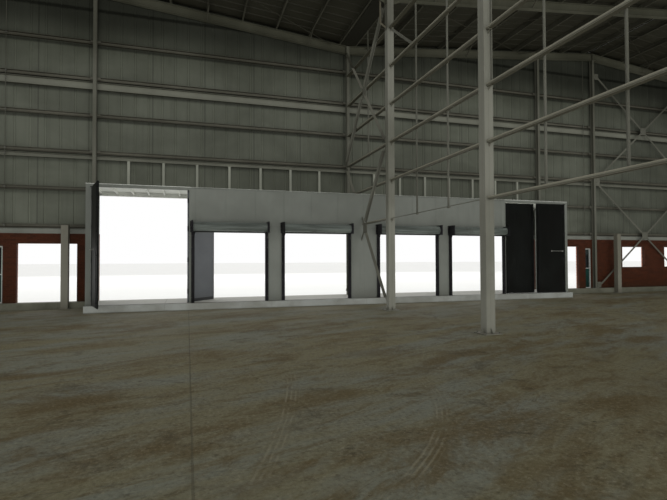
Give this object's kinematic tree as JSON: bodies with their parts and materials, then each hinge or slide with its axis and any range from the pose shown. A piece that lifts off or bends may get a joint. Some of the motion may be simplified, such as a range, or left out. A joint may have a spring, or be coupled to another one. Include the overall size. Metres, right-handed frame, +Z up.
{
  "type": "twin-span factory hall with a recessed loading bay, scale model 1:2",
  "caption": "Steel-framed twin-gable factory hall on a brick dado, with ribbed cladding, a recessed loading bay with roller shutters and two pairs of hinged doors.",
  "frame": {"origin": "centre of the footprint, on the underside of the floor slab", "axes": "+X along the loading gable to the right as seen from inside, +Y out of the loading gable, +Z up"},
  "size_m": [29.535, 17, 6.8784],
  "materials": {
    "floor_concrete": "dusty brown-grey concrete",
    "kerb_concrete": "light cast concrete",
    "brick": "fair-faced red brick in grey mortar",
    "wall_sheet": "ribbed sheet, dull grey-green coating",
    "roof_sheet": "ribbed sheet, dull coating",
    "trim": "folded light grey sheet",
    "frame_steel": "grey-green primer paint, dull, dusty",
    "dock_panel": "smooth grey-green panel",
    "dock_white": "off-white paint",
    "door_leaf": "near-black paint",
    "shutter_black": "black paint",
    "shutter_slats": "dull galvanised slats",
    "light_frame": "white paint",
    "teal_panel": "teal-green gloss paint"
  },
  "bodies": {
    "hall": {"floor_slab": "floor_concrete", "dock_slab": "kerb_concrete", "kerb": "kerb_concrete", "front_brick": "brick", "back_brick": "brick", "side_brick": "brick", "dado_beams": "frame_steel", "gable_beams": "frame_steel", "front_cladding": "wall_sheet", "over_dock_cladding": "wall_sheet", "back_cladding": "wall_sheet", "side_cladding": "wall_sheet", "roof_left_outer": "roof_sheet", "roof_left_inner": "roof_sheet", "roof_right_inner": "roof_sheet", "roof_right_outer": "roof_sheet", "ridge_caps": "trim", "valley_gutter": "trim", "eaves_gutters": "trim", "downpipes": "trim", "edge_trims": "trim", "valley_columns": "frame_steel", "side_columns": "frame_steel", "gable_posts": "frame_steel", "outer_rafters": "frame_steel", "inner_rafters": "frame_steel", "purlins_left": "frame_steel", "purlins_right": "frame_steel", "front_girts": "frame_steel", "back_girts": "frame_steel", "side_girts": "frame_steel", "valley_girts": "frame_steel", "sag_rods": "frame_steel", "gable_bracing": "frame_steel", "valley_bracing": "frame_steel", "dado_posts": "frame_steel", "dock_piers": "dock_panel", "dock_header": "dock_panel", "dock_cheeks": "dock_white", "dock_deck": "dock_white", "dock_joists": "dock_white", "dock_lintel": "dock_white", "dock_studs": "frame_steel", "door_jambs": "dock_white", "door_heads": "dock_white", "door_pivots": "shutter_black", "shutter_guides": "shutter_black", "shutter_rolls": "shutter_slats", "shutter_brackets": "shutter_black", "side_light_frames": "light_frame", "side_light_panels": "teal_panel"},
    "left_outer_leaf": {"left_outer_leaf": "door_leaf"},
    "left_inner_leaf": {"left_inner_leaf": "door_leaf"},
    "right_inner_leaf": {"right_inner_leaf": "door_leaf"},
    "right_outer_leaf": {"right_outer_leaf": "door_leaf"}
  },
  "joints": [
    {"name": "left_outer_hinge", "type": "hinge", "parent": "hall", "child": "left_outer_leaf", "pos_m": [-5.245, 7.305, 0.2], "axis": [0, 0, 1], "range_deg": [-21, 74]},
    {"name": "left_inner_hinge", "type": "hinge", "parent": "hall", "child": "left_inner_leaf", "pos_m": [-3.585, 7.395, 0.2], "axis": [0, 0, 1], "range_deg": [-7, 128]},
    {"name": "right_inner_hinge", "type": "hinge", "parent": "hall", "child": "right_inner_leaf", "pos_m": [3.585, 7.395, 0.2], "axis": [0, 0, 1], "range_deg": [0, 135]},
    {"name": "right_outer_hinge", "type": "hinge", "parent": "hall", "child": "right_outer_leaf", "pos_m": [5.245, 7.305, 0.2], "axis": [0, 0, 1], "range_deg": [0, 95]}
  ]
}
